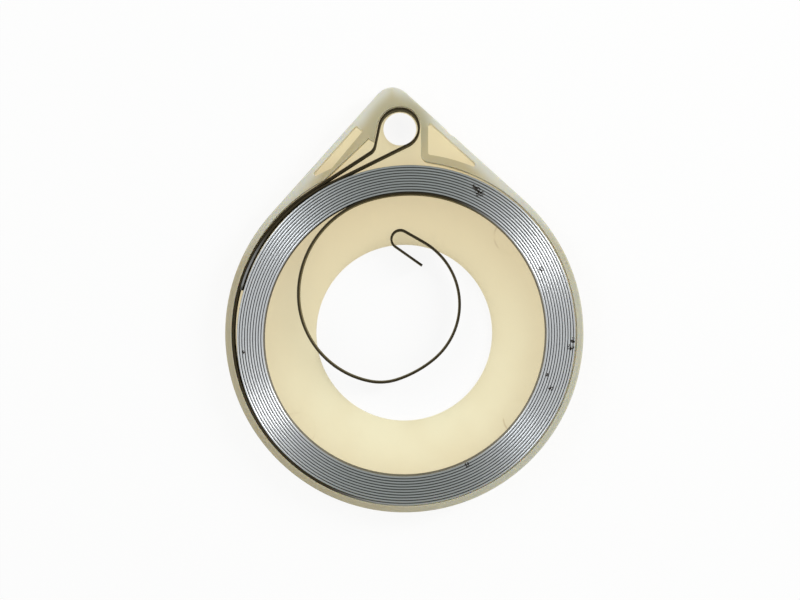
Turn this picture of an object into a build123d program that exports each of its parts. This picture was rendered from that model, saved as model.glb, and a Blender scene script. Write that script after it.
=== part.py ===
from build123d import *
from build123d.topology import SkipClean
import math
import os

# Recoil starter spring in its cassette, in millimetres.
# The origin is the axis of the ring at the cassette's underside. +Z points out
# of the open side, and +Y from the ring's axis towards the tip.
# Angles are in degrees about the ring's axis, from +X towards +Y.

# Spring strip
STRIP_T = 0.5  # thickness of the steel strip
STRIP_W = 6.5  # width of the strip, which stands on edge
TURNS = 11  # close turns in the pack
PITCH = 0.63  # from one close turn to the next
WALL_GAP = 0.05  # running room between the outermost turn and the ring wall

# Ring and floor of the cassette
RING_BORE_R = 40.1
RING_WALL = 1.4
FLOOR_T = 1.5
CASSETTE_H = 8.5
HUB_HOLE_R = 20.7

# Outer end of the strip: tail, straight run, eye, neck and run to the ring wall
TAIL_END_ANGLE = 165.0  # where the cut end of the tail lies
TAIL_PITCH = 0.56  # from the outermost turn to the tail that lies against it
TAIL_RUN_HEADING = 26.3  # way the straight run points, towards the eye
EYE_X = -0.97  # where the eye stands across the tip
EYE_R = 4.38  # centreline radius of the eye
EYE_OPENING = 0.57  # how much wider the arc is by which the eye passes into its neck
NECK_HEADING = 258.0
NECK_BEND_R = 2.6
LEAD_HEADING = 213.0  # way the strip points from the neck to the ring wall
LEAD_SINK = 0.75  # how far the first arc's centre lies off the ring's axis
WALL_CONTACT_ANGLE = 178.0  # where the outermost turn comes to lie on the wall

# Pack: every turn is a round half and a half that is flattened over the tail
SEAM_ANGLE = 43.0  # where a round half passes into a flattened one
FLAT_DEPTH = 1.23  # how far the middle of the flattened half lies inwards
SHOULDER = 2.2  # how much tighter the arcs beside the flat are bent

# Loose innermost turn: radius and sweep of each bend, one after the other
LEAVE_HEADING = 197.3  # way the strip points where it leaves the pack
LOOSE_BENDS = ((22.9, 74.2), (20.6, 77.3), (12.7, 29.3), (26.1, 21.2), (16.7, 111.0))
HOOK_SHANK = 5.0
HOOK_BEND_R = 2.1
HOOK_SWEEP = 174.5
HOOK_END = 7.7

# Tip of the cassette
TIP_RIGHT_WALL = 1.91  # between the eye's nest and the straight right side
TIP_LEFT_WALL = 4.08
TIP_ROUND_R = 4.5
NEST_GAP = 0.25  # room round the eye in its nest
NEST_REACH = 3.8  # how far the nest follows the neck
EYE_HOLE_R = 3.9
EYE_HOLE_SHIFT_X = -0.06  # from the eye's centre to the hole's
EYE_HOLE_SHIFT_Y = 0.16

# Ribs and pockets beside the eye
PARTITION = 1.65  # ring wall where a pocket lies behind it
RIGHT_RIB = 1.6
LEFT_RIB = 2.0  # thickness at its top
LEFT_RIB_GAP = 0.19  # from the rib's foot to the strip that passes it
LEFT_RIB_TAPER = 6.5  # by how much the rib's sides close towards the ring wall
LEFT_LIP = 1.4  # step from the nest to the left rib
LEFT_LIP_HEADING = 150.0
RIGHT_SIDE_WALL = 1.3
LEFT_SIDE_WALL = 1.1
LEFT_POCKET_BACK = 6.44  # from the eye's centre back along the side to the pocket's end
POCKET_CORNER_R = 0.5
POCKET_ROUND_SHARE = 0.49  # of a pocket's shortest side, the most that a corner takes
RIB_FOOT_R = 2.0  # rounding where the right rib meets the ring wall

# Moulding marks and edges
PIN_MARK_R = 4.0
PIN_MARK_DEPTH = 0.08
PIN_MARK_PITCH_R = 33.8
PIN_MARK_ANGLES = (42.0, 222.4, 323.8)
GATE_MARK_L = 2.4  # shallow scoop in the right side where the sprue was cut off
GATE_MARK_DEPTH = 0.25
GATE_MARK_H = 3.0
GATE_MARK_BACK = 9.5  # from the eye's centre back along the side to the scoop
BASE_BEVEL = 0.5
RIM_BEVEL = 0.25

RING_R = RING_BORE_R + RING_WALL
CONTACT_R = RING_BORE_R - WALL_GAP - STRIP_T / 2  # outermost turn's centreline
EYE_NECK_R = EYE_R + EYE_OPENING


def unit(angle):
    return Vector(math.cos(math.radians(angle)), math.sin(math.radians(angle)))


def run_to_line(start, heading, normal, distance):
    """Length from start along heading to the line that lies distance out along normal."""
    return (distance - start.dot(unit(normal))) / unit(heading).dot(unit(normal))


def run_to_circle(start, heading, radius):
    """Length from a point outside a circle about the axis to where heading enters it."""
    along = start.dot(unit(heading))
    return -along - math.sqrt(along**2 - start.dot(start) + radius**2)


class Strip:
    """The strip walked from its outer end, one straight or bent piece after another."""

    def __init__(self, start, heading):
        self.at = start
        self.heading = heading
        self.length = 0.0
        self.pieces = []

    def cut(self):
        """Line across the strip where it stands now, from its left side to its right."""
        half = unit(self.heading + 90) * (STRIP_T / 2)
        return Line(self.at + half, self.at - half)

    def add(self, first_cut, left, right):
        face = make_face([first_cut, left, self.cut(), right])
        self.pieces.append(Solid.extrude(face.face(), Vector(0, 0, STRIP_W)))

    def straight(self, length):
        first_cut = self.cut()
        self.at += unit(self.heading) * length
        self.length += length
        left = Line(first_cut @ 0, self.cut() @ 0)
        right = Line(first_cut @ 1, self.cut() @ 1)
        self.add(first_cut, left, right)

    def bend(self, radius, sweep):
        """Bends to the left by sweep degrees, or to the right where it is negative."""
        first_cut = self.cut()
        hand = math.copysign(1, sweep)
        centre = self.at + unit(self.heading + 90 * hand) * radius
        start = self.heading - 90 * hand
        self.heading += sweep
        self.at = centre + unit(self.heading - 90 * hand) * radius
        self.length += radius * math.radians(abs(sweep))
        left = CenterArc(centre, radius - hand * STRIP_T / 2, start, sweep)
        right = CenterArc(centre, radius + hand * STRIP_T / 2, start, sweep)
        self.add(first_cut, left, right)

    def solid(self):
        """The pieces joined end to end, each keeping its own faces."""
        with SkipClean():
            strip = self.pieces[0].fuse(*self.pieces[1:])
        return Pos(0, 0, FLOOR_T) * strip


# First arc of the outermost turn: it meets the ring wall from inside
LEAD_CENTRE = unit(WALL_CONTACT_ANGLE) * LEAD_SINK
LEAD_R = CONTACT_R - LEAD_SINK
LEAD_NORMAL = LEAD_HEADING - 90
LEAD_START = LEAD_CENTRE + unit(LEAD_NORMAL) * LEAD_R
TAIL_R = LEAD_R - TAIL_PITCH
TAIL_NORMAL = TAIL_RUN_HEADING + 90
TAIL_RUN_START = LEAD_CENTRE + unit(TAIL_NORMAL) * TAIL_R

# Eye: its circle touches the tail's straight run
EYE_OFF_AXIS = TAIL_RUN_START + unit(TAIL_NORMAL) * EYE_R
TAIL_RUN = (EYE_X - EYE_OFF_AXIS.X) / unit(TAIL_RUN_HEADING).X
EYE = EYE_OFF_AXIS + unit(TAIL_RUN_HEADING) * TAIL_RUN
EYE_NECK = EYE - Vector(0, EYE_OPENING)
NECK_START = EYE_NECK + unit(NECK_HEADING - 90) * EYE_NECK_R


def outer_end(strip):
    """Tail, eye, neck and the run to the ring wall."""
    strip.bend(TAIL_R, TAIL_NORMAL - TAIL_END_ANGLE)
    strip.straight(TAIL_RUN)
    strip.bend(EYE_R, 180 - TAIL_RUN_HEADING)
    strip.bend(EYE_NECK_R, NECK_HEADING - 180)
    lead_distance = LEAD_START.dot(unit(LEAD_NORMAL))
    to_corner = run_to_line(NECK_START, NECK_HEADING, LEAD_NORMAL, lead_distance)
    corner = NECK_START + unit(NECK_HEADING) * to_corner
    turn = NECK_HEADING - LEAD_HEADING
    bend_run = NECK_BEND_R * math.tan(math.radians(turn / 2))
    strip.straight(to_corner - bend_run)
    strip.bend(NECK_BEND_R, -turn)
    strip.straight((LEAD_START - corner).length - bend_run)
    strip.bend(LEAD_R, WALL_CONTACT_ANGLE - LEAD_NORMAL)


def pack(strip):
    """Close turns: each half is bent tighter than the one before by half a pitch."""
    strip.bend(CONTACT_R, SEAM_ANGLE + 180 - WALL_CONTACT_ANGLE)
    depth_left = SHOULDER - FLAT_DEPTH
    sink = FLAT_DEPTH * (SHOULDER + depth_left) / (2 * depth_left)
    shoulder_sweep = math.degrees(math.atan2(sink, SHOULDER))
    flat_more = math.hypot(SHOULDER, sink) - SHOULDER
    for turn in range(TURNS):
        round_r = CONTACT_R - PITCH / 4 - PITCH * turn
        strip.bend(round_r, 180)
        shoulder_r = round_r - PITCH / 2 - SHOULDER
        flat_r = shoulder_r + SHOULDER + flat_more
        strip.bend(shoulder_r, shoulder_sweep)
        if turn < TURNS - 1:
            strip.bend(flat_r, 180 - 2 * shoulder_sweep)
            strip.bend(shoulder_r, shoulder_sweep)
        else:
            strip.bend(flat_r, LEAVE_HEADING - 90 - SEAM_ANGLE - shoulder_sweep)


def loose_turn(strip):
    """Innermost turn, which hangs free and ends in the hook for the pulley."""
    for radius, sweep in LOOSE_BENDS:
        strip.bend(radius, sweep)
    strip.straight(HOOK_SHANK)
    strip.bend(HOOK_BEND_R, HOOK_SWEEP)
    strip.straight(HOOK_END)


def coil_spring():
    """One continuous strip of spring steel."""
    tail_end = LEAD_CENTRE + unit(TAIL_END_ANGLE) * TAIL_R
    strip = Strip(tail_end, TAIL_END_ANGLE - 90)
    outer_end(strip)
    pack(strip)
    loose_turn(strip)
    print("strip length", round(strip.length), "mm")
    return strip.solid()


# Nest of the eye, and the straight sides that keep their walls round it
NEST_ROOM = STRIP_T / 2 + NEST_GAP
NEST_R = EYE_R + NEST_ROOM
NEST_NECK_R = EYE_NECK_R + NEST_ROOM
EYE_ANGLE = math.degrees(math.atan2(EYE.Y, EYE.X))


def side_lean(wall):
    """Angle from the eye to the normal of a side that touches the ring and keeps this wall."""
    return math.degrees(math.acos((RING_R - NEST_R - wall) / EYE.length))


TIP_RIGHT_NORMAL = EYE_ANGLE - side_lean(TIP_RIGHT_WALL)
TIP_LEFT_NORMAL = EYE_ANGLE + side_lean(TIP_LEFT_WALL)


def outline():
    """Ring with two straight sides that run together into a rounded tip."""
    middle = (TIP_RIGHT_NORMAL + TIP_LEFT_NORMAL) / 2
    half = (TIP_LEFT_NORMAL - TIP_RIGHT_NORMAL) / 2
    reach = (RING_R - TIP_ROUND_R) / math.cos(math.radians(half))
    tip = unit(middle) * reach
    right_foot, left_foot = unit(TIP_RIGHT_NORMAL), unit(TIP_LEFT_NORMAL)
    return make_face(
        [
            Line(right_foot * RING_R, tip + right_foot * TIP_ROUND_R),
            CenterArc(tip, TIP_ROUND_R, TIP_RIGHT_NORMAL, 2 * half),
            Line(tip + left_foot * TIP_ROUND_R, left_foot * RING_R),
            CenterArc((0, 0), RING_R, TIP_LEFT_NORMAL, 360 - 2 * half),
        ]
    )


# Faces of both ribs that look into the chamber
RIGHT_RIB_X = EYE.X + NEST_R
NEST_LEFT_TOP = EYE_NECK + unit(NECK_HEADING - 90) * NEST_NECK_R
NEST_LEFT_END = NEST_LEFT_TOP + unit(NECK_HEADING) * NEST_REACH
LEFT_RIB_TOP = NEST_LEFT_END + unit(LEFT_LIP_HEADING) * LEFT_LIP
LEFT_FOOT_OUT = LEAD_START.dot(unit(LEAD_NORMAL)) + STRIP_T / 2 + LEFT_RIB_GAP
LEFT_FOOT_ANGLE = LEAD_NORMAL - math.degrees(math.acos(LEFT_FOOT_OUT / RING_BORE_R))
LEFT_RIB_FOOT = unit(LEFT_FOOT_ANGLE) * RING_BORE_R


def chamber():
    """Space in the tip for the eye and its two runs, down to the ring's bore."""
    right_foot = Vector(RIGHT_RIB_X, math.sqrt(RING_BORE_R**2 - RIGHT_RIB_X**2))
    nest_right = Vector(RIGHT_RIB_X, EYE.Y)
    space = make_face(
        [
            Line((0, 0), right_foot),
            Line(right_foot, nest_right),
            CenterArc(EYE, NEST_R, 0, 90),
            CenterArc(EYE_NECK, NEST_NECK_R, 90, NECK_HEADING - 180),
            Line(NEST_LEFT_TOP, NEST_LEFT_END),
            Line(NEST_LEFT_END, LEFT_RIB_TOP),
            Line(LEFT_RIB_TOP, LEFT_RIB_FOOT),
            Line(LEFT_RIB_FOOT, (0, 0)),
        ]
    )
    bore = Circle(RING_BORE_R) + space
    foot = bore.vertices().sort_by_distance(right_foot)[0]
    return fillet(foot, RIB_FOOT_R)


def round_corners(pocket):
    """The pocket with rounded corners, which its narrow end may limit."""
    shortest = min(edge.length for edge in pocket.edges())
    return fillet(pocket.vertices(), min(POCKET_CORNER_R, POCKET_ROUND_SHARE * shortest))


def right_pocket():
    """Three-sided pocket between the right rib, the ring wall and the side wall."""
    rib_x = RIGHT_RIB_X + RIGHT_RIB
    wall_r = RING_BORE_R + PARTITION
    side = RING_R - RIGHT_SIDE_WALL
    rib_foot = Vector(rib_x, math.sqrt(wall_r**2 - rib_x**2))
    rib_top = rib_foot + Vector(0, run_to_line(rib_foot, 90, TIP_RIGHT_NORMAL, side))
    far_angle = TIP_RIGHT_NORMAL + math.degrees(math.acos(side / wall_r))
    foot_angle = math.degrees(math.atan2(rib_foot.Y, rib_foot.X))
    pocket = make_face(
        [
            CenterArc((0, 0), wall_r, far_angle, foot_angle - far_angle),
            Line(rib_foot, rib_top),
            Line(rib_top, unit(far_angle) * wall_r),
        ]
    )
    return round_corners(pocket)


def left_pocket():
    """Long pocket between the left rib, the ring wall and the side wall."""
    wall_r = RING_BORE_R + PARTITION
    side = RING_R - LEFT_SIDE_WALL
    rib_run = LEFT_RIB_FOOT - LEFT_RIB_TOP
    rib_heading = math.degrees(math.atan2(rib_run.Y, rib_run.X))
    rib_face = LEFT_RIB_TOP + unit(rib_heading - 90) * LEFT_RIB
    far_heading = rib_heading + LEFT_RIB_TAPER
    rib_foot = rib_face + unit(far_heading) * run_to_circle(rib_face, far_heading, wall_r)
    along_side = TIP_LEFT_NORMAL - 90
    end = EYE.dot(unit(along_side)) - LEFT_POCKET_BACK
    rib_top = rib_face + unit(far_heading) * run_to_line(rib_face, far_heading, along_side, end)
    side_top = unit(TIP_LEFT_NORMAL) * side + unit(along_side) * end
    far_angle = TIP_LEFT_NORMAL - math.degrees(math.acos(side / wall_r))
    foot_angle = math.degrees(math.atan2(rib_foot.Y, rib_foot.X))
    pocket = make_face(
        [
            CenterArc((0, 0), wall_r, foot_angle, far_angle - foot_angle),
            Line(unit(far_angle) * wall_r, side_top),
            Line(side_top, rib_top),
            Line(rib_top, rib_foot),
        ]
    )
    return round_corners(pocket)


def gate_mark():
    """Scoop that the cut sprue left in the right side, as a short arc of a cylinder."""
    along_side = unit(TIP_RIGHT_NORMAL + 90)
    scoop_r = (GATE_MARK_L**2 / 4 + GATE_MARK_DEPTH**2) / (2 * GATE_MARK_DEPTH)
    out = unit(TIP_RIGHT_NORMAL) * (RING_R + scoop_r - GATE_MARK_DEPTH)
    centre = out + along_side * (EYE.dot(along_side) - GATE_MARK_BACK)
    return Pos(centre.X, centre.Y, CASSETTE_H - GATE_MARK_H) * extrude(Circle(scoop_r), GATE_MARK_H)


def cassette():
    """One-piece nylon moulding: floor, ring wall, ribs and the solid tip."""
    body = extrude(outline(), CASSETTE_H)
    body = chamfer(body.edges().group_by(Axis.Z)[-1], RIM_BEVEL)
    body = chamfer(body.edges().group_by(Axis.Z)[0], BASE_BEVEL)
    on_floor = Pos(0, 0, FLOOR_T)
    for space in (chamber(), right_pocket(), left_pocket()):
        body -= on_floor * extrude(space, CASSETTE_H)
    body -= gate_mark()
    eye_hole = EYE + Vector(EYE_HOLE_SHIFT_X, EYE_HOLE_SHIFT_Y)
    body -= extrude(Circle(HUB_HOLE_R), FLOOR_T)
    body -= extrude(Pos(eye_hole.X, eye_hole.Y) * Circle(EYE_HOLE_R), FLOOR_T)
    for angle in PIN_MARK_ANGLES:
        mark = unit(angle) * PIN_MARK_PITCH_R
        on_mark = Pos(mark.X, mark.Y, FLOOR_T - PIN_MARK_DEPTH)
        body -= on_mark * extrude(Circle(PIN_MARK_R), PIN_MARK_DEPTH)
    print("eye hole centre", round(eye_hole.X, 3), round(eye_hole.Y, 3))
    return body


os.makedirs("parts", exist_ok=True)
export_step(cassette(), "parts/cassette.step")
export_step(coil_spring(), "parts/coil_spring.step")
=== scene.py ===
import bmesh
import bpy
import math
from mathutils import Matrix, Vector


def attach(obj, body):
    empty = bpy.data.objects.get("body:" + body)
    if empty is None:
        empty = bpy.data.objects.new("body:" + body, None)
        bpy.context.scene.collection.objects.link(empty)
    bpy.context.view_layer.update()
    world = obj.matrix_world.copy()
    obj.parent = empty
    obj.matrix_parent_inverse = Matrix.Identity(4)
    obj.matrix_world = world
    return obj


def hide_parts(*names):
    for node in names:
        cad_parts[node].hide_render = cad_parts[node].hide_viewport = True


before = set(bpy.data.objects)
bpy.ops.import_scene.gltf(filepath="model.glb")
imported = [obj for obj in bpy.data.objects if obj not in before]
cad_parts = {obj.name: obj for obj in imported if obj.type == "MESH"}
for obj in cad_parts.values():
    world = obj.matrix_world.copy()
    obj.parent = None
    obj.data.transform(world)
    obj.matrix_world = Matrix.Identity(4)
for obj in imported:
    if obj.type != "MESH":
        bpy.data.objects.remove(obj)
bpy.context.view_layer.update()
MM = 0.001


# Viewpoint: the part lies on its underside and is seen from straight above the
# open side, from about half a metre.
VIEW_X = -1.0 * MM
VIEW_Y = 7.7 * MM
VIEW_HEIGHT = 488.5 * MM
LENS = 93.3  # millimetres, on the usual sensor 36 mm wide

camera_data = bpy.data.cameras.new("camera")
camera_data.lens = LENS
camera_data.sensor_fit = "HORIZONTAL"
camera_data.sensor_width = 36
camera = bpy.data.objects.new("camera", camera_data)
camera.location = (VIEW_X, VIEW_Y, VIEW_HEIGHT)
bpy.context.collection.objects.link(camera)
bpy.context.scene.camera = camera


# Light tent: a white table, walls that are pale left and right and dim in front
# and behind, and two tall lamps whose light runs along the rounded edges of the
# steel. Table and lamps are in metres.
TABLE_SIZE = 4.0
TABLE_GAP = 0.02 * MM  # the part's flat underside never touches all over
TABLE_WHITE = 0.95
SHADOW_KEPT = 0.12  # share of the table that still shows the part's shadow
TENT_SIDE = (0.84, 0.84, 0.83)
TENT_ENDS = (0.31, 0.33, 0.30)
TENT_TOP = (0.47, 0.49, 0.50)
SIDE_TURN = (0.35, 0.95)  # share of sideways over which the ends pass into the sides
TOP_TURN = (0.97, 1.0)  # share of upwards over which the walls pass into the top
LAMP_ELEVATION = 43  # degrees above the table
LAMP_DISTANCE = 0.6
LAMP_HEIGHT = 0.42


def add_node(tree, kind, **inputs):
    """A shader node with its sockets set by name or linked from another socket."""
    made = tree.nodes.new("ShaderNode" + kind)
    for name, value in inputs.items():
        numbered = name[0] == "i" and name[1:].isdigit()
        socket = made.inputs[int(name[1:])] if numbered else made.inputs[name]
        if isinstance(value, bpy.types.NodeSocket):
            tree.links.new(value, socket)
        else:
            socket.default_value = value
    return made


def math_node(tree, operation, first, second=0.0):
    made = add_node(tree, "Math", i0=first, i1=second)
    made.operation = operation
    return made.outputs[0]


def ramp(tree, value, low, high):
    """0 below low, 1 above high and a soft step between them."""
    made = add_node(tree, "MapRange", Value=value)
    made.interpolation_type = "SMOOTHSTEP"
    made.inputs["From Min"].default_value = low
    made.inputs["From Max"].default_value = high
    return made.outputs["Result"]


def mix_colour(tree, share, first, second):
    made = tree.nodes.new("ShaderNodeMix")
    made.data_type = "RGBA"
    for socket, value in ((made.inputs[0], share), (made.inputs[6], first), (made.inputs[7], second)):
        if isinstance(value, bpy.types.NodeSocket):
            tree.links.new(value, socket)
        else:
            socket.default_value = (*value, 1) if isinstance(value, tuple) else value
    return made.outputs[2]


def seen_directly(tree):
    """1 where the camera, a reflection or a clear material looks at the surface."""
    path = tree.nodes.new("ShaderNodeLightPath").outputs
    mirrored = math_node(tree, "MAXIMUM", path["Is Glossy Ray"], path["Is Transmission Ray"])
    return math_node(tree, "MAXIMUM", path["Is Camera Ray"], mirrored)


def table_material():
    material = bpy.data.materials.new("white_table")
    material.use_nodes = True
    tree = material.node_tree
    tree.nodes.clear()
    white = (TABLE_WHITE, TABLE_WHITE, TABLE_WHITE, 1)
    matt = add_node(tree, "BsdfDiffuse", Color=white).outputs[0]
    glow = add_node(tree, "Emission", Color=(1, 1, 1, 1), Strength=1.0).outputs[0]
    share = math_node(tree, "MULTIPLY", seen_directly(tree), 1 - SHADOW_KEPT)
    mixed = add_node(tree, "MixShader", i0=share, i1=matt, i2=glow).outputs[0]
    add_node(tree, "OutputMaterial", Surface=mixed)
    return material


table_mesh = bpy.data.meshes.new("table")
table_bm = bmesh.new()
bmesh.ops.create_grid(table_bm, x_segments=1, y_segments=1, size=TABLE_SIZE / 2)
bmesh.ops.translate(table_bm, verts=table_bm.verts, vec=(0, 0, -TABLE_GAP))
table_bm.to_mesh(table_mesh)
table_bm.free()
table = bpy.data.objects.new("table", table_mesh)
bpy.context.collection.objects.link(table)
table_mesh.materials.append(table_material())

world = bpy.data.worlds.new("tent")
bpy.context.scene.world = world
world.use_nodes = True
tent_tree = world.node_tree
tent_tree.nodes.clear()
looking = tent_tree.nodes.new("ShaderNodeTexCoord").outputs["Generated"]
flat_way = add_node(tent_tree, "VectorMath", i0=looking, i1=(1, 1, 0))
flat_way.operation = "MULTIPLY"
flat_way = add_node(tent_tree, "VectorMath", i0=flat_way.outputs[0])
flat_way.operation = "NORMALIZE"
level_way = add_node(tent_tree, "SeparateXYZ", Vector=flat_way.outputs[0]).outputs
sideways = math_node(tent_tree, "ABSOLUTE", level_way["X"])
upwards = add_node(tent_tree, "SeparateXYZ", Vector=looking).outputs["Z"]
wall_tone = mix_colour(tent_tree, ramp(tent_tree, sideways, *SIDE_TURN), TENT_ENDS, TENT_SIDE)
tent_tone = mix_colour(tent_tree, ramp(tent_tree, upwards, *TOP_TURN), wall_tone, TENT_TOP)
tent_wall = add_node(tent_tree, "Background", Color=tent_tone, Strength=1.0).outputs[0]
backdrop = add_node(tent_tree, "Background", Color=(1, 1, 1, 1), Strength=1.0).outputs[0]
camera_ray = tent_tree.nodes.new("ShaderNodeLightPath").outputs["Is Camera Ray"]
tent_mix = add_node(tent_tree, "MixShader", i0=camera_ray, i1=tent_wall, i2=backdrop).outputs[0]
add_node(tent_tree, "OutputWorld", Surface=tent_mix)


def lamp(name, azimuth, width, watts, colour):
    """Tall flat lamp that faces the part from azimuth degrees, from +X towards +Y."""
    data = bpy.data.lights.new(name, "AREA")
    data.shape = "RECTANGLE"
    data.size, data.size_y = width, LAMP_HEIGHT
    data.energy = watts
    data.color = colour
    lamp_object = bpy.data.objects.new(name, data)
    across, up = math.radians(azimuth), math.radians(LAMP_ELEVATION)
    away = Vector((math.cos(across) * math.cos(up), math.sin(across) * math.cos(up), math.sin(up)))
    lamp_object.location = away * LAMP_DISTANCE
    lamp_object.rotation_euler = away.to_track_quat("Z", "Y").to_euler()
    bpy.context.collection.objects.link(lamp_object)


lamp("key_lamp", azimuth=28, width=0.085, watts=1.25, colour=(1.0, 0.99, 0.97))
lamp("side_lamp", azimuth=141, width=0.09, watts=0.5, colour=(0.93, 0.96, 1.0))
bpy.context.scene.view_settings.view_transform = "Standard"


# Cassette: a shallow tray moulded in natural nylon, with a ring wall for the
# coiled strip, a solid tip round its eye and ejector-pin marks on the floor.
FLOOR_TOP = 1.5 * MM
RIM_TOP = 8.5 * MM
RING_R = 41.5 * MM
TIP_SIDES = (47.8, 138.2)  # ways that the tip's two straight sides face, in degrees
EYE_X = -0.97 * MM
EYE_Y = 47.75 * MM
MARK_R = 4.0 * MM
MARK_PITCH_R = 33.8 * MM
MARK_ANGLES = (42.0, 222.4, 323.8)
MARK_LINE = (0.28 * MM, 0.08 * MM)  # off the mark's circle: clean floor to full line
MARK_BREAKS = 160  # how close together the gaps in the rings are
MARK_BREAK_SPAN = (0.46, 0.6)

# Floor tones: the far tone is painted shade towards the far side, and also the tone of the clouds.
FLOOR_NEAR = (0.97, 0.925, 0.72)
FLOOR_SHADE_AND_CLOUD = (0.80, 0.67, 0.42)
# Tan of painted shade on the floor next to the coil.
FLOOR_COIL_SHADE = (0.86, 0.68, 0.39)
# Brighter floor of the tip's pockets: painted light, where the far floor's painted shade ends.
FLOOR_TIP_LIT = (0.92, 0.81, 0.54)
MARK_TONE = (0.60, 0.46, 0.26)
# Wall tones, greyer than the floor: painted shade of the thick nylon.
WALL_PALE = (0.62, 0.62, 0.53)
# Browner wall tone: painted shade on the left and lower walls.
WALL_LEFT_SHADE = (0.52, 0.47, 0.34)
# Olive of painted shade on the walls round the eye.
WALL_EYE_SHADE = (0.49, 0.46, 0.31)
# Pale tone of painted light on the upright faces of walls and pockets.
WALL_UPRIGHT_LIT = (0.88, 0.85, 0.72)
# Tip tones: painted light along its edge, painted shade further inside.
TIP_EDGE_LIT = (0.78, 0.79, 0.74)
TIP_INSIDE_SHADE = (0.60, 0.53, 0.34)
LIT_THROUGH = (1.0, 0.985, 0.88)

# Each span says where one tone starts to give way, and where the next is full.
FLOOR_SHADE_SPAN = (-35 * MM, 45 * MM)  # Y: near floor to the painted shade of the far floor
COIL_SHADE_SPAN = (23 * MM, 38 * MM)  # radius: floor round the hub hole to the painted shade of the floor at the coil
COIL_SHADE_SHARE = 0.45
CLOUD_SCALE = 90
CLOUD_SPAN = (0.35, 0.7)
CLOUD_SHARE = 0.25
TIP_SPAN = (37 * MM, 43 * MM)  # Y: floor of the ring to the floor of the tip, painted lighter
LEFT_SHADE_SPAN = (15 * MM, -25 * MM)  # slanting X: right wall to the painted shade of the left wall
LEFT_SLANT = 0.35  # share of Y that is added to X
UP_TO_TIP = (5 * MM, 38 * MM)  # Y: wall of the ring to wall of the tip
INTO_TIP = (0.6 * MM, 3.6 * MM)  # from the tip's sides inwards: painted light at the edge to painted shade inside
EYE_SPAN = (9 * MM, 4.5 * MM)  # distance from the eye: wall to the painted olive shade
SIDE_SPAN = (0.8, 0.3)  # share of upwards that a face looks: level to upright, with painted light
WALL_SPAN = (FLOOR_TOP + 0.3 * MM, RIM_TOP - 1.5 * MM)  # height: floor to wall, where the floor's painted light gives way to the walls' painted shade

FLOOR_THROUGH = 0.88  # share of the light that the thin floor lets through
WALL_THROUGH = 0.3
THROUGH_SHARE = 0.6  # how far the light that comes through is paler than the surface
NYLON_ROUGHNESS = (0.34, 0.5)
NYLON_BLOTCH = 400  # how close together the duller places are
NYLON_GRAIN = 1500  # how close together the grains of the moulded face are
GRAIN_DEPTH = 0.02 * MM
WELD_ROOM = 0.001 * MM
CRISP_ANGLE = 28  # degrees between faces, above which an edge stays sharp


def noise(tree, place, scale, detail=2.0):
    return add_node(tree, "TexNoise", Vector=place, Scale=scale, Detail=detail).outputs["Fac"]


def level_distance(tree, place, centre):
    """Distance from a point of the floor plan."""
    level = add_node(tree, "VectorMath", i0=place, i1=(1, 1, 0))
    level.operation = "MULTIPLY"
    gap = add_node(tree, "VectorMath", i0=level.outputs[0], i1=centre)
    gap.operation = "DISTANCE"
    return gap.outputs["Value"]


def pin_rings(tree, place):
    """Broken thin rings that the ejector pins left in the floor."""
    rings = 0.0
    for angle in MARK_ANGLES:
        across = math.radians(angle)
        centre = (MARK_PITCH_R * math.cos(across), MARK_PITCH_R * math.sin(across), 0)
        off_ring = math_node(tree, "SUBTRACT", level_distance(tree, place, centre), MARK_R)
        ring = ramp(tree, math_node(tree, "ABSOLUTE", off_ring), *MARK_LINE)
        rings = math_node(tree, "MAXIMUM", rings, ring)
    kept = ramp(tree, noise(tree, place, MARK_BREAKS), *MARK_BREAK_SPAN)
    return math_node(tree, "MULTIPLY", rings, kept)


def inside_tip(tree, place):
    """How far a point lies inside the tip's two straight sides, which touch the ring's circle."""
    rooms = []
    for facing in TIP_SIDES:
        way = (math.cos(math.radians(facing)), math.sin(math.radians(facing)), 0)
        reach = add_node(tree, "VectorMath", i0=place, i1=way)
        reach.operation = "DOT_PRODUCT"
        rooms.append(math_node(tree, "SUBTRACT", RING_R, reach.outputs["Value"]))
    return math_node(tree, "MINIMUM", *rooms)


def floor_tone(tree, place, along):
    """Thin cloudy nylon with the pins' rings, and painted light and shade: darker towards the far
    side, browner next to the coil, brighter in the tip's pockets.
    """
    # Painted shade: the floor darkens towards the far side.
    tone = mix_colour(tree, ramp(tree, along["Y"], *FLOOR_SHADE_SPAN), FLOOR_NEAR, FLOOR_SHADE_AND_CLOUD)
    clouds = ramp(tree, noise(tree, place, CLOUD_SCALE, 3), *CLOUD_SPAN)
    tone = mix_colour(tree, math_node(tree, "MULTIPLY", clouds, CLOUD_SHARE), tone, FLOOR_SHADE_AND_CLOUD)
    # Painted shade: the floor turns tan next to the coil.
    outwards = ramp(tree, level_distance(tree, place, (0, 0, 0)), *COIL_SHADE_SPAN)
    tone = mix_colour(tree, math_node(tree, "MULTIPLY", outwards, COIL_SHADE_SHARE), tone, FLOOR_COIL_SHADE)
    # Painted light: the tip's pockets get a brighter floor.
    tone = mix_colour(tree, ramp(tree, along["Y"], *TIP_SPAN), tone, FLOOR_TIP_LIT)
    return mix_colour(tree, pin_rings(tree, place), tone, MARK_TONE)


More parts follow.
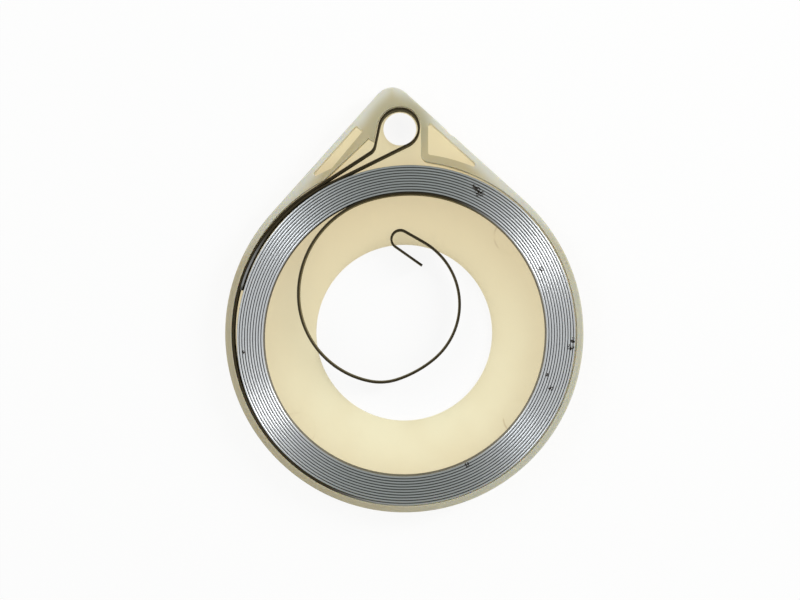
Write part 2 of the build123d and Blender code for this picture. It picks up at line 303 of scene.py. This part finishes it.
def standing_tone(tree, place, along):
    """Walls and solid tip, with painted light and shade: browner at the left, pale at the tip's edge,
    olive round the eye, paler on upright faces.
    """
    slanting = math_node(tree, "ADD", along["X"], math_node(tree, "MULTIPLY", along["Y"], LEFT_SLANT))
    # Painted shade: the walls turn browner towards the left.
    tone = mix_colour(tree, ramp(tree, slanting, *LEFT_SHADE_SPAN), WALL_PALE, WALL_LEFT_SHADE)
    # Painted light at the tip's edge, painted shade inside it.
    tip_tone = mix_colour(tree, ramp(tree, inside_tip(tree, place), *INTO_TIP), TIP_EDGE_LIT, TIP_INSIDE_SHADE)
    tone = mix_colour(tree, ramp(tree, along["Y"], *UP_TO_TIP), tone, tip_tone)
    # Painted shade: the walls darken to olive round the eye.
    from_eye = add_node(tree, "VectorMath", i0=place, i1=(EYE_X, EYE_Y, RIM_TOP))
    from_eye.operation = "DISTANCE"
    tone = mix_colour(tree, ramp(tree, from_eye.outputs["Value"], *EYE_SPAN), tone, WALL_EYE_SHADE)
    # Painted light: upright faces are made paler.
    normal = tree.nodes.new("ShaderNodeNewGeometry").outputs["Normal"]
    upwards = math_node(tree, "ABSOLUTE", add_node(tree, "SeparateXYZ", Vector=normal).outputs["Z"])
    return mix_colour(tree, ramp(tree, upwards, *SIDE_SPAN), tone, WALL_UPRIGHT_LIT)


def nylon():
    """Cloudy natural nylon, painted bright where it is thin and greyer where it stands deep: painted
    light through the floor, painted shade in the walls.
    """
    material = bpy.data.materials.new("natural_nylon")
    material.use_nodes = True
    tree = material.node_tree
    surface = tree.nodes["Principled BSDF"]
    place = tree.nodes.new("ShaderNodeTexCoord").outputs["Object"]
    along = add_node(tree, "SeparateXYZ", Vector=place).outputs
    standing = ramp(tree, along["Z"], *WALL_SPAN)
    floor = floor_tone(tree, place, along)
    # Painted light and shade: floor tones where the nylon is thin, greyer wall tones where it stands
    # tall.
    tone = mix_colour(tree, standing, floor, standing_tone(tree, place, along))
    tree.links.new(tone, surface.inputs["Base Color"])
    tree.links.new(standing, surface.inputs["Subsurface Weight"])
    surface.inputs["Subsurface Radius"].default_value = (1.0, 0.85, 0.55)
    surface.inputs["Subsurface Scale"].default_value = 0.8 * MM
    surface.inputs["IOR"].default_value = 1.53
    rough = add_node(tree, "MapRange", Value=noise(tree, place, NYLON_BLOTCH))
    rough.inputs["To Min"].default_value, rough.inputs["To Max"].default_value = NYLON_ROUGHNESS
    tree.links.new(rough.outputs["Result"], surface.inputs["Roughness"])
    grain = noise(tree, place, NYLON_GRAIN)
    grain = add_node(tree, "Bump", Height=grain, Strength=0.12, Distance=GRAIN_DEPTH)
    tree.links.new(grain.outputs["Normal"], surface.inputs["Normal"])
    lit = mix_colour(tree, THROUGH_SHARE, tone, LIT_THROUGH)
    through = add_node(tree, "BsdfTranslucent", Color=lit).outputs[0]
    share = math_node(tree, "MULTIPLY", standing, WALL_THROUGH - FLOOR_THROUGH)
    share = math_node(tree, "ADD", share, FLOOR_THROUGH)
    both = add_node(tree, "MixShader", i0=share, i1=surface.outputs[0], i2=through).outputs[0]
    tree.links.new(both, tree.nodes["Material Output"].inputs["Surface"])
    return material


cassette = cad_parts["cassette"]
cassette.data.materials.clear()
cassette.data.materials.append(nylon())
for face in cassette.data.polygons:
    face.use_smooth = True
weld = cassette.modifiers.new("joined", "WELD")
weld.merge_threshold = WELD_ROOM
crisp = cassette.modifiers.new("crisp_edges", "EDGE_SPLIT")
crisp.split_angle = math.radians(CRISP_ANGLE)


# Spring: one strip of spring steel on edge, rolled with rounded edges. Its ends
# were heated to bend the eye and the hook, which left them dark.
STRIP_T = 0.5 * MM
STRIP_W = 6.5 * MM
STRIP_EDGE_R = 0.2 * MM
STRIP_BASE = 1.5 * MM
TURNS = 11
PITCH = 0.63 * MM
CONTACT_R = 39.8 * MM  # centreline of the outermost turn against the ring wall
TAIL_END_ANGLE = 165.0
TAIL_PITCH = 0.56 * MM
TAIL_RUN_HEADING = 26.3
EYE_R = 4.38 * MM
EYE_NECK_R = 4.95 * MM
NECK_HEADING = 258.0
NECK_BEND_R = 2.6 * MM
LEAD_HEADING = 213.0
LEAD_SINK = 0.75 * MM
WALL_CONTACT_ANGLE = 178.0
SEAM_ANGLE = 43.0
FLAT_DEPTH = 1.23 * MM
SHOULDER = 2.2 * MM
LEAVE_HEADING = 197.3
LOOSE_BENDS = ((22.9, 74.2), (20.6, 77.3), (12.7, 29.3), (26.1, 21.2), (16.7, 111.0))
HOOK_SHANK = 5.0 * MM
HOOK_BEND_R = 2.1 * MM
HOOK_SWEEP = 174.5
HOOK_END = 7.7 * MM
CHORD_SAG = 0.006 * MM  # how far a bend's flat steps stay from its true arc
SEAM_ROOM = 0.0002 * MM
EDGE_STEPS = 4


def unit(angle):
    return Vector((math.cos(math.radians(angle)), math.sin(math.radians(angle)), 0))


class Strip:
    """The strip's section drawn and spun from the tail to the hook, piece after piece."""

    def __init__(self, start, heading):
        self.at = start
        self.heading = heading
        self.length = 0.0
        self.bm = bmesh.new()
        self.bm.verts.layers.float.new("along")
        self.piece_mesh = bpy.data.meshes.new("strip_piece")

    def section(self):
        """The strip's outline with its rounded edges, across the strip where it stands now."""
        bm = bmesh.new()
        corners = bmesh.ops.create_grid(bm, x_segments=1, y_segments=1, size=0.5)["verts"]
        bmesh.ops.scale(bm, vec=(STRIP_T, STRIP_W, 1), verts=corners)
        bmesh.ops.bevel(
            bm, geom=corners, affect="VERTICES", offset=STRIP_EDGE_R, segments=EDGE_STEPS,
            profile=0.5, material=-1,
        )
        bmesh.ops.delete(bm, geom=bm.faces, context="FACES_ONLY")
        upright = Matrix.Rotation(math.radians(90), 4, "X")
        turned = Matrix.Rotation(math.radians(self.heading - 90), 4, "Z")
        middle = Matrix.Translation(self.at + Vector((0, 0, STRIP_BASE + STRIP_W / 2)))
        bmesh.ops.transform(bm, verts=bm.verts, matrix=middle @ turned @ upright)
        return bm

    def draw(self, centre, shift, angle, steps, distance):
        """Adds one piece, and notes how far along the strip each of its points lies."""
        piece = self.section()
        along = piece.verts.layers.float.new("along")
        bmesh.ops.spin(
            piece, geom=piece.verts[:] + piece.edges[:], cent=centre, axis=(0, 0, 1), dvec=shift,
            angle=angle, steps=steps, use_merge=False, use_normal_flip=False, use_duplicate=False,
        )
        for vert in piece.verts:
            vert[along] = self.length + distance(vert.co)
        piece.to_mesh(self.piece_mesh)
        piece.free()
        self.bm.from_mesh(self.piece_mesh)

    def straight(self, length):
        start, way = self.at, unit(self.heading)
        self.draw(start, way * length, 0, 1, lambda point: (point - start).dot(way))
        self.at = start + way * length
        self.length += length

    def bend(self, radius, sweep):
        """Bends to the left by sweep degrees, or to the right where it is negative."""
        hand = math.copysign(1, sweep)
        out = unit(self.heading - 90 * hand)
        centre = self.at - out * radius
        widest = 2 * math.degrees(math.acos(1 - CHORD_SAG / radius))
        steps = math.ceil(abs(sweep) / widest)
        self.draw(
            centre, (0, 0, 0), math.radians(sweep), steps,
            lambda point: radius * out.xy.angle((point - centre).xy),
        )
        self.heading += sweep
        self.at = centre + unit(self.heading - 90 * hand) * radius
        self.length += radius * math.radians(abs(sweep))

    def close(self):
        """Joins the pieces and closes both cut ends with a face each."""
        bmesh.ops.remove_doubles(self.bm, verts=self.bm.verts, dist=SEAM_ROOM)
        rims = [edge for edge in self.bm.edges if edge.is_boundary]
        cut_ends = bmesh.ops.holes_fill(self.bm, edges=rims)["faces"]
        for face in self.bm.faces:
            face.smooth = True
        for cap in cut_ends:
            cap.smooth = False
            cap.material_index = 1
        bmesh.ops.recalc_face_normals(self.bm, faces=self.bm.faces)
        bpy.data.meshes.remove(self.piece_mesh)


LEAD_CENTRE = unit(WALL_CONTACT_ANGLE) * LEAD_SINK
LEAD_R = CONTACT_R - LEAD_SINK
LEAD_NORMAL = LEAD_HEADING - 90
LEAD_START = LEAD_CENTRE + unit(LEAD_NORMAL) * LEAD_R
TAIL_R = LEAD_R - TAIL_PITCH
TAIL_NORMAL = TAIL_RUN_HEADING + 90
EYE_OFF_AXIS = LEAD_CENTRE + unit(TAIL_NORMAL) * (TAIL_R + EYE_R)
TAIL_RUN = (EYE_X - EYE_OFF_AXIS.x) / unit(TAIL_RUN_HEADING).x


def outer_end(strip):
    """Tail, eye, neck and the run to the ring wall."""
    strip.bend(TAIL_R, TAIL_NORMAL - TAIL_END_ANGLE)
    strip.straight(TAIL_RUN)
    strip.bend(EYE_R, 180 - TAIL_RUN_HEADING)
    strip.bend(EYE_NECK_R, NECK_HEADING - 180)
    across = unit(LEAD_NORMAL)
    to_corner = (LEAD_START - strip.at).dot(across) / unit(NECK_HEADING).dot(across)
    corner = strip.at + unit(NECK_HEADING) * to_corner
    turn = NECK_HEADING - LEAD_HEADING
    bend_run = NECK_BEND_R * math.tan(math.radians(turn / 2))
    strip.straight(to_corner - bend_run)
    strip.bend(NECK_BEND_R, -turn)
    strip.straight((LEAD_START - corner).length - bend_run)
    strip.bend(LEAD_R, WALL_CONTACT_ANGLE - LEAD_NORMAL)


def pack(strip):
    """Close turns, each with a round half and a half flattened over the tail."""
    strip.bend(CONTACT_R, SEAM_ANGLE + 180 - WALL_CONTACT_ANGLE)
    depth_left = SHOULDER - FLAT_DEPTH
    sink = FLAT_DEPTH * (SHOULDER + depth_left) / (2 * depth_left)
    shoulder_sweep = math.degrees(math.atan2(sink, SHOULDER))
    flat_more = math.hypot(SHOULDER, sink) - SHOULDER
    for turn in range(TURNS):
        round_r = CONTACT_R - PITCH / 4 - PITCH * turn
        strip.bend(round_r, 180)
        shoulder_r = round_r - PITCH / 2 - SHOULDER
        flat_r = shoulder_r + SHOULDER + flat_more
        strip.bend(shoulder_r, shoulder_sweep)
        if turn < TURNS - 1:
            strip.bend(flat_r, 180 - 2 * shoulder_sweep)
            strip.bend(shoulder_r, shoulder_sweep)
        else:
            strip.bend(flat_r, LEAVE_HEADING - 90 - SEAM_ANGLE - shoulder_sweep)


def loose_turn(strip):
    """Innermost turn, which hangs free and ends in the hook for the pulley."""
    for radius, sweep in LOOSE_BENDS:
        strip.bend(radius * MM, sweep)
    strip.straight(HOOK_SHANK)
    strip.bend(HOOK_BEND_R, HOOK_SWEEP)
    strip.straight(HOOK_END)


OUTER_DARK_END = 80  # degrees of the ring wall that the dark outer end reaches over
INNER_DARK_START = 55  # degrees before the strip leaves the pack
INNER_TURN_R = 32.5 * MM  # where the strip leaves the pack
DARK_FADE = 12 * MM  # along the strip, to each side of where the dark ends
WORN_SPAN = (16 * MM, 4 * MM)  # along the strip: dark tail to its worn end
WORN_SHARE = 0.4
SIDE_TONE_SPAN = (STRIP_W / 2 - 0.12 * MM, STRIP_W / 2 - 0.3 * MM)  # off the middle: edge to side
SILVER = (0.67, 0.69, 0.71)
SILVER_SIDE = (0.24, 0.235, 0.22)
TEMPERED = (0.045, 0.036, 0.020)
TEMPERED_SIDE = (0.19, 0.16, 0.08)
BRIGHT_ROUGHNESS = 0.27
DARK_ROUGHER = 0.15
SIDE_ROUGHER = 0.15
RUST_ROUGHER = 0.4
GRAIN_ROUGHER = 0.1
STEEL_GRAIN = 900  # how close together the duller grains are
DARK_DULL = 0.65  # how far the dark ends are from bare metal
RUST = (0.022, 0.015, 0.010)
PIT_SCALE = 2600  # how close together the pits in the rust are
PIT_SPAN = (0.47, 0.53)
BETWEEN_PITS = 0.15  # rust that is left between the pits
RUST_SPAN = (0.2, 0.5)  # share of spot and pit: clean steel to full rust
SPOT_CORE = 0.6  # share of a spot's size that is full
SPOT_REACH = 1.5  # share of its size at which it ends
SPOT_FADE = 0.3 * MM  # further out, the same for every spot
RUST_SPOTS = (  # X, Y and size, in millimetres
    (16.1, 34.0, 0.25), (16.9, 33.2, 0.5), (17.8, 32.3, 0.5), (17.0, 32.2, 0.25), (31.7, 14.9, 0.35),
    (38.6, -3.2, 0.5), (39.1, -1.6, 0.4), (34.0, -12.7, 0.4), (33.1, -9.7, 0.25), (14.6, -30.5, 0.4),
    (-37.3, -4.4, 0.2),
)


def tempered(tree, along, outer_dark, inner_dark):
    """Dark share along the strip: full towards both ends, partly worn off at the tail."""
    outer = ramp(tree, along, outer_dark + DARK_FADE, outer_dark - DARK_FADE)
    inner = ramp(tree, along, inner_dark - DARK_FADE, inner_dark + DARK_FADE)
    worn = math_node(tree, "MULTIPLY", ramp(tree, along, *WORN_SPAN), WORN_SHARE)
    return math_node(tree, "SUBTRACT", math_node(tree, "MAXIMUM", outer, inner), worn)


def rust_spots(tree, place):
    """Small pitted spots on the strip's upper edge."""
    spots = 0.0
    for x, y, size in RUST_SPOTS:
        gap = add_node(tree, "VectorMath", i0=place, i1=(x * MM, y * MM, STRIP_BASE + STRIP_W))
        gap.operation = "DISTANCE"
        outside, core = SPOT_REACH * size * MM + SPOT_FADE, SPOT_CORE * size * MM
        spots = math_node(tree, "MAXIMUM", spots, ramp(tree, gap.outputs["Value"], outside, core))
    pitted = ramp(tree, noise(tree, place, PIT_SCALE, 3), *PIT_SPAN)
    pitted = math_node(tree, "ADD", pitted, BETWEEN_PITS)
    return ramp(tree, math_node(tree, "MULTIPLY", spots, pitted), *RUST_SPAN)


def flat_side(tree, place):
    """1 on the strip's flat sides and 0 on its rounded edges."""
    height = add_node(tree, "SeparateXYZ", Vector=place).outputs["Z"]
    from_middle = math_node(tree, "SUBTRACT", height, STRIP_BASE + STRIP_W / 2)
    return ramp(tree, math_node(tree, "ABSOLUTE", from_middle), *SIDE_TONE_SPAN)


def spring_steel(outer_dark, inner_dark):
    """Rolled steel, bright on its edges, dark towards both ends, with a few rust spots."""
    material = bpy.data.materials.new("spring_steel")
    material.use_nodes = True
    tree = material.node_tree
    surface = tree.nodes["Principled BSDF"]
    place = tree.nodes.new("ShaderNodeTexCoord").outputs["Object"]
    attribute = tree.nodes.new("ShaderNodeAttribute")
    attribute.attribute_name = "along"
    dark = tempered(tree, attribute.outputs["Fac"], outer_dark, inner_dark)
    side = flat_side(tree, place)
    spots = rust_spots(tree, place)
    bright_tone = mix_colour(tree, side, SILVER, SILVER_SIDE)
    dark_tone = mix_colour(tree, side, TEMPERED, TEMPERED_SIDE)
    tone = mix_colour(tree, dark, bright_tone, dark_tone)
    tree.links.new(mix_colour(tree, spots, tone, RUST), surface.inputs["Base Color"])
    dull = math_node(tree, "MAXIMUM", math_node(tree, "MULTIPLY", dark, DARK_DULL), spots)
    tree.links.new(math_node(tree, "SUBTRACT", 1.0, dull), surface.inputs["Metallic"])
    grain = noise(tree, place, STEEL_GRAIN, 3)
    rough = BRIGHT_ROUGHNESS
    for share, more in (
        (dark, DARK_ROUGHER), (side, SIDE_ROUGHER), (spots, RUST_ROUGHER), (grain, GRAIN_ROUGHER),
    ):
        rough = math_node(tree, "ADD", rough, math_node(tree, "MULTIPLY", share, more))
    tree.links.new(rough, surface.inputs["Roughness"])
    surface.inputs["Anisotropic"].default_value = 0.85
    surface.inputs["Anisotropic Rotation"].default_value = 0.25
    rolled = tree.nodes.new("ShaderNodeTangent")
    rolled.direction_type = "RADIAL"
    rolled.axis = "Z"
    tree.links.new(rolled.outputs["Tangent"], surface.inputs["Tangent"])
    surface.inputs["Specular IOR Level"].default_value = 0.15
    surface.inputs["Specular Tint"].default_value = (0.55, 0.5, 0.42, 1)
    return material


CUT_DARK = (0.5, 0.49, 0.45)
CUT_PALE = (0.75, 0.74, 0.7)
CUT_GRAIN = 3000


def cut_steel():
    """Fresh grey metal on the two sheared ends of the strip."""
    material = bpy.data.materials.new("cut_steel")
    material.use_nodes = True
    tree = material.node_tree
    surface = tree.nodes["Principled BSDF"]
    place = tree.nodes.new("ShaderNodeTexCoord").outputs["Object"]
    tone = mix_colour(tree, noise(tree, place, CUT_GRAIN, 3), CUT_DARK, CUT_PALE)
    tree.links.new(tone, surface.inputs["Base Color"])
    surface.inputs["Metallic"].default_value = 1.0
    surface.inputs["Roughness"].default_value = 0.35
    return material


strip = Strip(LEAD_CENTRE + unit(TAIL_END_ANGLE) * TAIL_R, TAIL_END_ANGLE - 90)
outer_end(strip)
outer_dark = strip.length + CONTACT_R * math.radians(OUTER_DARK_END)
pack(strip)
inner_dark = strip.length - INNER_TURN_R * math.radians(INNER_DARK_START)
loose_turn(strip)
strip.close()
spring_mesh = bpy.data.meshes.new("wound_strip")
strip.bm.to_mesh(spring_mesh)
strip.bm.free()
spring = bpy.data.objects.new("wound_strip", spring_mesh)
bpy.context.collection.objects.link(spring)
spring_mesh.materials.append(spring_steel(outer_dark, inner_dark))
spring_mesh.materials.append(cut_steel())
flats = spring.modifiers.new("flat_sides", "WEIGHTED_NORMAL")
flats.weight = 80
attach(spring, "root")
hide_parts("coil_spring")
